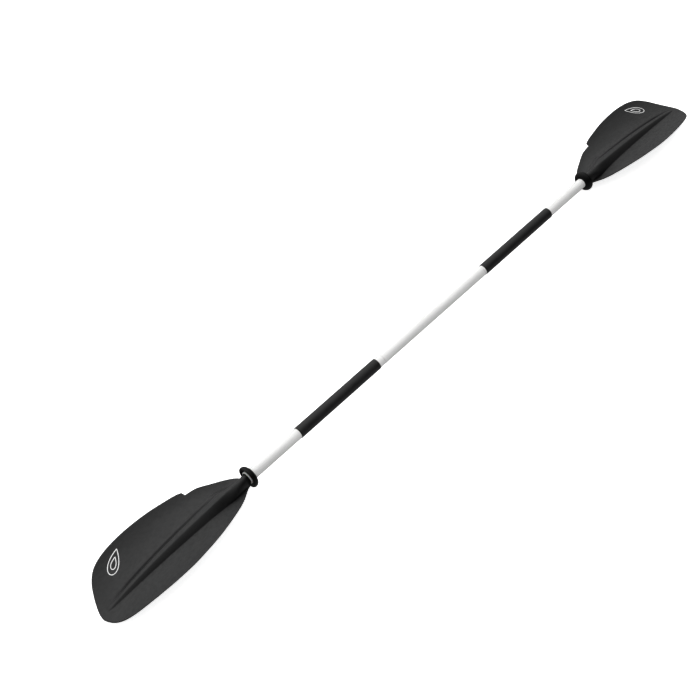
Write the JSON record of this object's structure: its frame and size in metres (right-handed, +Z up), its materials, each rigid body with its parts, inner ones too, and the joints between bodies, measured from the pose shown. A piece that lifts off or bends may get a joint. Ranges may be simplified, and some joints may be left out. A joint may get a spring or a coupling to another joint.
{
  "type": "kayak paddle",
  "caption": "Double-bladed take-apart kayak paddle: white tube shaft with black grip sleeves, drip rings and two dark asymmetric spooned blades joined by snap buttons.",
  "frame": {"origin": "centre of the bounding box at floor level, with the paddle lying on the floor as stored", "axes": "+X along the shaft from blade a to blade b, +Z up from the floor, +Y towards the notched edges of the blades"},
  "size_m": [2.1736, 0.193, 0.0694],
  "materials": {
    "white_tube": "drawn aluminium tube with a gloss white coating",
    "white_plastic": "white moulded nylon, semi-gloss",
    "grip": "black heat-shrunk grip sleeve, satin, finely ribbed",
    "ring_rubber": "black moulded rubber, satin",
    "blade_plastic": "dark grey glass-filled polypropylene, fine moulded grain",
    "seal_rubber": "black nitrile O-ring",
    "spring_steel": "stainless spring steel",
    "inner_aluminium": "mill-finish drawn aluminium",
    "grey_plastic": "grey moulded polyethylene",
    "float_foam": "closed-cell polyethylene foam"
  },
  "bodies": {
    "centre_section": {"centre_tube": "white_tube", "spigot_a": "inner_aluminium", "spigot_pin_a": "inner_aluminium", "spigot_plug_a": "grey_plastic", "snap_spring_a": "spring_steel", "float_foam_centre": "float_foam"},
    "shaft_a": {"shaft_tube_a": "white_tube", "grip_sleeve_a": "grip", "neck_collar_a": "white_plastic", "float_foam_a": "float_foam"},
    "blade_a": {"blade_a": "blade_plastic", "neck_seal_a": "seal_rubber", "blade_spring_a": "spring_steel"},
    "drip_ring_a": {"drip_ring_a": "ring_rubber"},
    "snap_button_a": {"snap_button_a": "spring_steel"},
    "blade_button_a": {"blade_button_a": "spring_steel"},
    "shaft_b": {"shaft_tube_b": "white_tube", "grip_sleeve_b": "grip", "neck_collar_b": "white_plastic", "float_foam_b": "float_foam", "spigot_b": "inner_aluminium", "spigot_pin_b": "inner_aluminium", "spigot_plug_b": "grey_plastic", "snap_spring_b": "spring_steel"},
    "blade_b": {"blade_b": "blade_plastic", "neck_seal_b": "seal_rubber", "blade_spring_b": "spring_steel"},
    "drip_ring_b": {"drip_ring_b": "ring_rubber"},
    "snap_button_b": {"snap_button_b": "spring_steel"},
    "blade_button_b": {"blade_button_b": "spring_steel"}
  },
  "joints": [
    {"name": "feather_turn", "type": "hinge", "parent": "centre_section", "child": "shaft_a", "pos_m": [-0.186, -0.01205, 0.03757], "axis": [-1, 0, 0], "range_deg": [0, 60]},
    {"name": "shaft_b_pull", "type": "slide", "parent": "centre_section", "child": "shaft_b", "axis": [1, 0, 0], "range_m": [0, 0.1]},
    {"name": "blade_a_pull", "type": "slide", "parent": "shaft_a", "child": "blade_a", "axis": [-1, 0, 0], "range_m": [0, 0.09]},
    {"name": "blade_b_pull", "type": "slide", "parent": "shaft_b", "child": "blade_b", "axis": [1, 0, 0], "range_m": [0, 0.09]},
    {"name": "drip_ring_a_slide", "type": "slide", "parent": "shaft_a", "child": "drip_ring_a", "axis": [1, 0, 0], "range_m": [0, 0.145]},
    {"name": "drip_ring_b_slide", "type": "slide", "parent": "shaft_b", "child": "drip_ring_b", "axis": [-1, 0, 0], "range_m": [0, 0.145]},
    {"name": "snap_button_a_press", "type": "slide", "parent": "centre_section", "child": "snap_button_a", "axis": [0, 0.2555, 0.9668], "range_m": [0, 0.004], "stiffness_N_per_m": 4000, "springref_m": -0.0015, "deforming": ["snap_button_a", "snap_spring_a"]},
    {"name": "snap_button_b_press", "type": "slide", "parent": "shaft_b", "child": "snap_button_b", "axis": [0, 0.2555, 0.9668], "range_m": [0, 0.004], "stiffness_N_per_m": 4000, "springref_m": -0.0015, "deforming": ["snap_button_b", "snap_spring_b"]},
    {"name": "blade_button_a_press", "type": "slide", "parent": "blade_a", "child": "blade_button_a", "axis": [0, 0.2555, 0.9668], "range_m": [0, 0.004], "stiffness_N_per_m": 4000, "springref_m": -0.0015, "deforming": ["blade_button_a", "blade_spring_a"]},
    {"name": "blade_button_b_press", "type": "slide", "parent": "blade_b", "child": "blade_button_b", "axis": [0, 0.2555, 0.9668], "range_m": [0, 0.004], "stiffness_N_per_m": 4000, "springref_m": -0.0015, "deforming": ["blade_button_b", "blade_spring_b"]}
  ]
}
